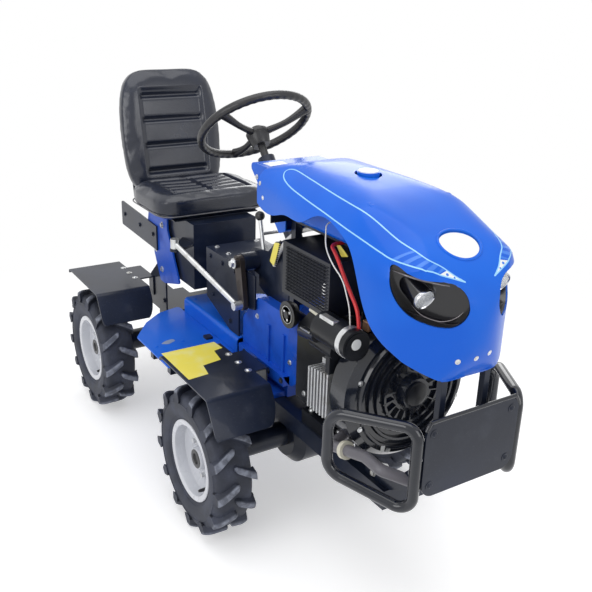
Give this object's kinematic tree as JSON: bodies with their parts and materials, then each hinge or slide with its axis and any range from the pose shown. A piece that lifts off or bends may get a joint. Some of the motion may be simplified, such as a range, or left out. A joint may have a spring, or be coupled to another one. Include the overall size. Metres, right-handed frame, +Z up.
{
  "type": "compact articulated garden tractor",
  "caption": "Small ride-on four-wheel-drive garden tractor: engine and hood on a front body, seat on a rear body, hinged in the middle by an upright steering pivot.",
  "frame": {"origin": "on the floor under the middle of the overall length, on the centre plane", "axes": "+Z up, the nose towards -Y, the driver's right hand at -X"},
  "size_m": [0.748, 1.74, 1.1612],
  "materials": {
    "body_blue": "gloss sheet-steel enamel",
    "casting_blue": "enamel over rough casting",
    "frame_black": "satin black powder coat",
    "engine_black": "satin black engine enamel",
    "shroud_black": "gloss black pressed steel",
    "guard_black": "matt heat-proof black",
    "fin_alloy": "bead-blasted casting",
    "zinc": "zinc plated",
    "pipe_grey": "dull grey steel",
    "rim_silver": "silver paint",
    "tyre": "dusty moulded rubber",
    "seat_vinyl": "black vinyl",
    "wheel_plastic": "moulded black plastic",
    "lamp_bowl": "black lamp bowl",
    "cable_red": "red cable sheath",
    "hose_white": "pale hose"
  },
  "bodies": {
    "front_body": {"battery_cable": "cable_red", "breather_hose": "hose_white", "bumper_loop_left": "frame_black", "bumper_loop_right": "frame_black", "bumper_plate": "frame_black", "bumper_stays": "frame_black", "cap_pulley": "wheel_plastic", "chassis": "frame_black", "column_cover": "body_blue", "engine": "engine_black", "exhaust_guard": "guard_black", "exhaust_pipe": "pipe_grey", "fan_shroud": "shroud_black", "fender_brackets_front": "frame_black", "fender_front_left": "frame_black", "fender_front_right": "frame_black", "finned_cover": "fin_alloy", "footboard_bars": "frame_black", "footboard_left": "body_blue", "footboard_right": "body_blue", "front_axle": "frame_black", "fuel_tank": "body_blue", "gear_levers": "zinc", "gearbox": "casting_blue", "headlamps": "lamp_bowl", "hood": "body_blue", "hood_posts": "frame_black", "light_wire": "hose_white", "starter": "engine_black", "steering_box": "frame_black", "steering_tower": "frame_black", "tank_stand": "frame_black", "tunnel": "body_blue"},
    "rear_body": {"drawbar": "frame_black", "fender_brackets_rear": "frame_black", "fender_rear_left": "frame_black", "fender_rear_right": "frame_black", "rear_axle": "frame_black", "rear_frame": "frame_black", "seat_back": "seat_vinyl", "seat_box": "frame_black", "seat_brackets": "casting_blue", "seat_cushion": "seat_vinyl", "seat_pan": "frame_black"},
    "steering_wheel": {"steering_wheel": "wheel_plastic"},
    "pitman_arm": {"pitman_arm": "frame_black"},
    "drag_link": {"drag_link": "zinc"},
    "wheel_front_left": {"tyre_front_left": "tyre", "rim_front_left": "rim_silver"},
    "wheel_front_right": {"tyre_front_right": "tyre", "rim_front_right": "rim_silver"},
    "wheel_rear_left": {"tyre_rear_left": "tyre", "rim_rear_left": "rim_silver"},
    "wheel_rear_right": {"tyre_rear_right": "tyre", "rim_rear_right": "rim_silver"}
  },
  "joints": [
    {"name": "articulation", "type": "hinge", "parent": "front_body", "child": "rear_body", "pos_m": [0, 0.265, 0.3], "axis": [0, 0, 1], "range_deg": [-25, 25]},
    {"name": "steering", "type": "hinge", "parent": "front_body", "child": "steering_wheel", "pos_m": [0, 0.075, 1.02], "axis": [0, 0.6428, 0.766], "range_deg": [-301, 301]},
    {"name": "pitman_swing", "type": "hinge", "parent": "front_body", "child": "pitman_arm", "pos_m": [-0.112, -0.02, 0.686], "axis": [1, 0, 0], "range_deg": [-38.4, 38.4]},
    {"name": "link_swing", "type": "hinge", "parent": "pitman_arm", "child": "drag_link", "pos_m": [-0.112, -0.04537, 0.56667], "axis": [1, 0, 0], "range_deg": [-38.4, 38.4]},
    {"name": "wheel_front_right_spin", "type": "hinge", "parent": "front_body", "child": "wheel_front_right", "pos_m": [-0.315, -0.197, 0.207], "axis": [1, 0, 0], "continuous": true},
    {"name": "wheel_front_left_spin", "type": "hinge", "parent": "front_body", "child": "wheel_front_left", "pos_m": [0.315, -0.197, 0.207], "axis": [1, 0, 0], "continuous": true},
    {"name": "wheel_rear_right_spin", "type": "hinge", "parent": "rear_body", "child": "wheel_rear_right", "pos_m": [-0.315, 0.627, 0.207], "axis": [1, 0, 0], "continuous": true},
    {"name": "wheel_rear_left_spin", "type": "hinge", "parent": "rear_body", "child": "wheel_rear_left", "pos_m": [0.315, 0.627, 0.207], "axis": [1, 0, 0], "continuous": true}
  ],
  "couplings": [
    {"joint": "steering", "follows": "articulation", "ratio": -12},
    {"joint": "pitman_swing", "follows": "articulation", "ratio": -1.5164},
    {"joint": "link_swing", "follows": "articulation", "ratio": 1.5164}
  ]
}
